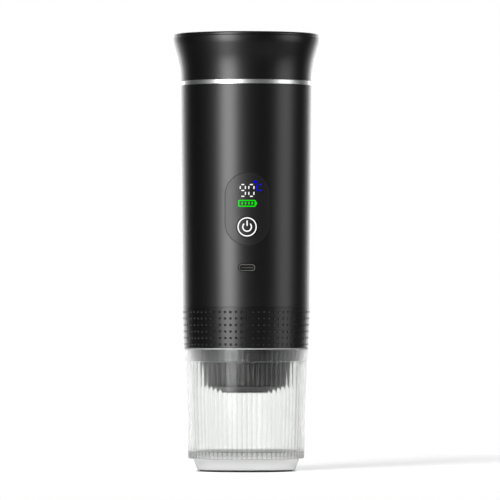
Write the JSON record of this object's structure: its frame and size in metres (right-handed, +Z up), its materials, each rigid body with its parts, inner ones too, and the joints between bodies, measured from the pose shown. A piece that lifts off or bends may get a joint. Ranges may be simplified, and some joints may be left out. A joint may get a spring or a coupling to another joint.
{
  "type": "portable espresso maker",
  "caption": "Battery espresso maker: tapered black body with lit panel, dotted collar and flared lid, standing on a clear ribbed cup that catches the coffee.",
  "frame": {"origin": "centre of the cup's foot, on the table", "axes": "+Z up along the body's axis, front with the control panel towards -Y"},
  "size_m": [0.0818, 0.0818, 0.244],
  "materials": {
    "clear_plastic": "clear, polished",
    "satin_black": "satin",
    "grip_black": "matte, dimpled",
    "inner_black": "satin",
    "bright_ring": "bright plated",
    "smoked_panel": "satin gloss",
    "button_black": "satin gloss",
    "seal_rubber": "matte silicone",
    "bright_steel": "brushed",
    "port_steel": "nickel plated",
    "port_plastic": "moulded",
    "valve_brass": "turned",
    "frame_plastic": "moulded",
    "cell_wrap": "shrink wrapped",
    "heater_alloy": "cast",
    "board_green": "solder mask",
    "wire_red": "silicone insulated"
  },
  "bodies": {
    "cup": {"cup": "clear_plastic"},
    "brew_head": {"grip_sleeve": "grip_black", "head_core": "inner_black", "lower_trim_ring": "bright_ring", "cup_seal": "seal_rubber", "capsule_holder": "inner_black", "coffee_basket": "bright_steel", "filter_screen": "bright_steel", "outlet_nozzle": "inner_black"},
    "chamber_seal": {"chamber_gasket": "seal_rubber"},
    "main_body": {"outer_sleeve": "satin_black", "base_plate": "inner_black", "piercing_plate": "bright_steel", "check_valve": "valve_brass", "core_frame": "frame_plastic", "battery_cells": "cell_wrap", "cell_strips": "bright_steel", "cell_plates": "frame_plastic", "pump_head": "frame_plastic", "pump_gearbox": "frame_plastic", "pump_motor": "bright_steel", "tank_hose": "seal_rubber", "circuit_board": "board_green", "display_block": "frame_plastic", "tact_switch": "frame_plastic", "charging_port": "port_steel", "port_tongue": "port_plastic", "control_panel": "smoked_panel", "tank_cradle": "frame_plastic", "heater": "heater_alloy", "temperature_sensor": "heater_alloy", "water_tank": "bright_steel", "tank_gasket": "seal_rubber", "neck_ring": "inner_black", "upper_trim_ring": "bright_ring", "frame_screws": "bright_steel", "cradle_screws": "bright_steel", "board_screws": "bright_steel", "battery_leads": "wire_red", "motor_leads": "wire_red", "heater_leads": "wire_red"},
    "button": {"power_button": "button_black"},
    "lid_seal": {"lid_gasket": "seal_rubber"},
    "lid": {"lid_liner": "inner_black", "vent_valve": "seal_rubber", "lid_shell": "satin_black", "lid_top": "satin_black"}
  },
  "joints": [
    {"name": "cup_lift", "type": "slide", "parent": "cup", "child": "brew_head", "axis": [0, 0, 1], "range_m": [0, 0.045]},
    {"name": "head_rise", "type": "slide", "parent": "brew_head", "child": "chamber_seal", "axis": [0, 0, 1], "range_m": [0, 0.012]},
    {"name": "head_turn", "type": "hinge", "parent": "chamber_seal", "child": "main_body", "pos_m": [0, 0, 0], "axis": [0, 0, 1], "range_deg": [0, 360]},
    {"name": "button_press", "type": "slide", "parent": "main_body", "child": "button", "axis": [0, 1, 0], "range_m": [0, 0.0006], "stiffness_N_per_m": 1500, "springref_m": -0.0004},
    {"name": "lid_rise", "type": "slide", "parent": "main_body", "child": "lid_seal", "axis": [0, 0, 1], "range_m": [0, 0.012]},
    {"name": "lid_turn", "type": "hinge", "parent": "lid_seal", "child": "lid", "pos_m": [0, 0, 0], "axis": [0, 0, 1], "range_deg": [0, 360]}
  ],
  "couplings": [
    {"joint": "head_rise", "follows": "head_turn", "m_per_rad": 0.0019098},
    {"joint": "lid_rise", "follows": "lid_turn", "m_per_rad": 0.0019098}
  ]
}
